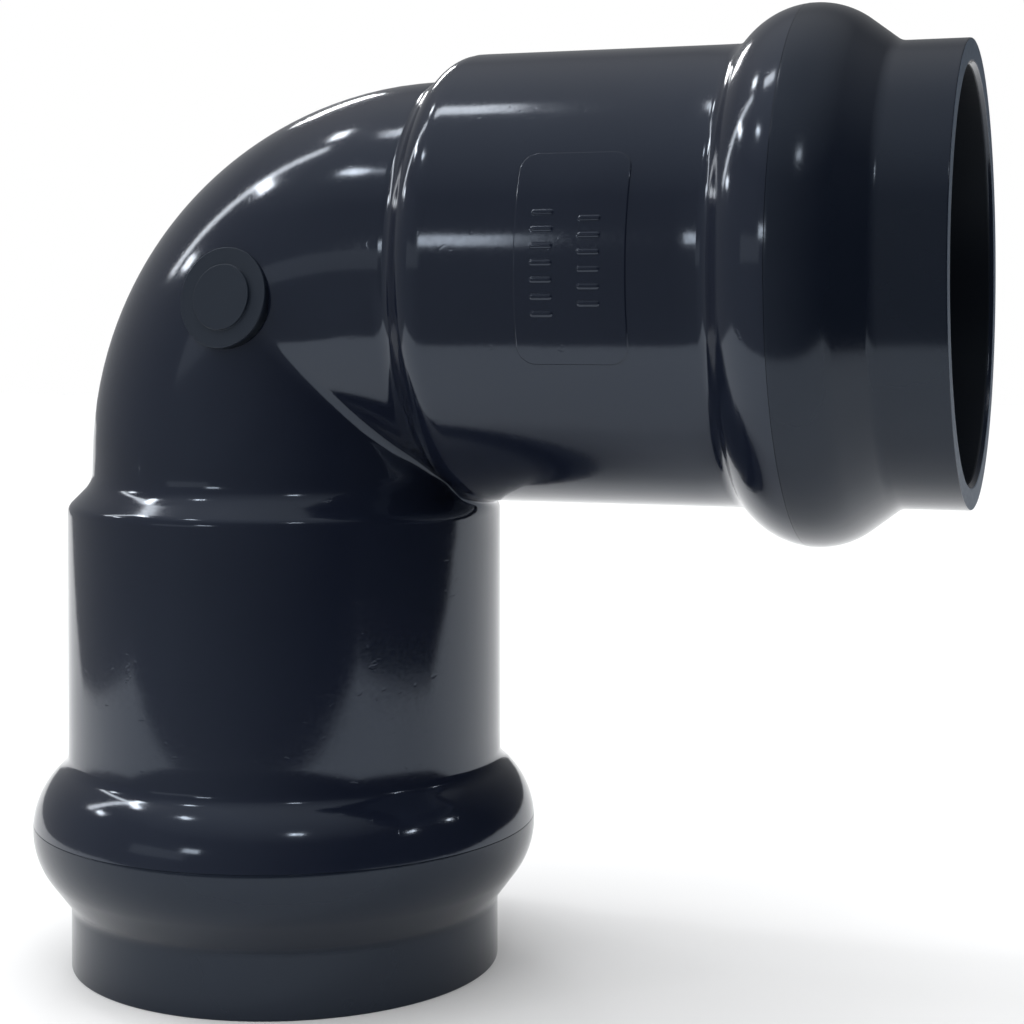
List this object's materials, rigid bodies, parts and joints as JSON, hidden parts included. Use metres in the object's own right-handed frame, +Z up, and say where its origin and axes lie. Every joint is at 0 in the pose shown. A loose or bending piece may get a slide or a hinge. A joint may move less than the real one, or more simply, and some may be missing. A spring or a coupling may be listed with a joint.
{
  "type": "push-fit pipe elbow",
  "caption": "90 degree push-fit elbow for 110 mm pressure pipe: mitred bend with a rounded outer corner and a rubber-ring socket on each leg.",
  "frame": {"origin": "centre of the lower socket's mouth face", "axes": "+Z up along the lower socket into the fitting, +X along the side socket towards its mouth, -Y the front with the gate mark and marking panel"},
  "size_m": [0.2725, 0.1466, 0.2725],
  "materials": {
    "moulded_body": "glossy moulded PVC-U, dark blue-grey",
    "socket_collar": "satin PVC-U, dark blue-grey",
    "seal_rubber": "matte black EPDM",
    "support_ring": "matte black polypropylene"
  },
  "bodies": {
    "root": {"elbow_body": "moulded_body", "lower_socket_collar": "socket_collar", "side_socket_collar": "socket_collar", "lower_seal": "seal_rubber", "side_seal": "seal_rubber", "lower_seal_support_ring": "support_ring", "side_seal_support_ring": "support_ring"}
  },
  "joints": []
}
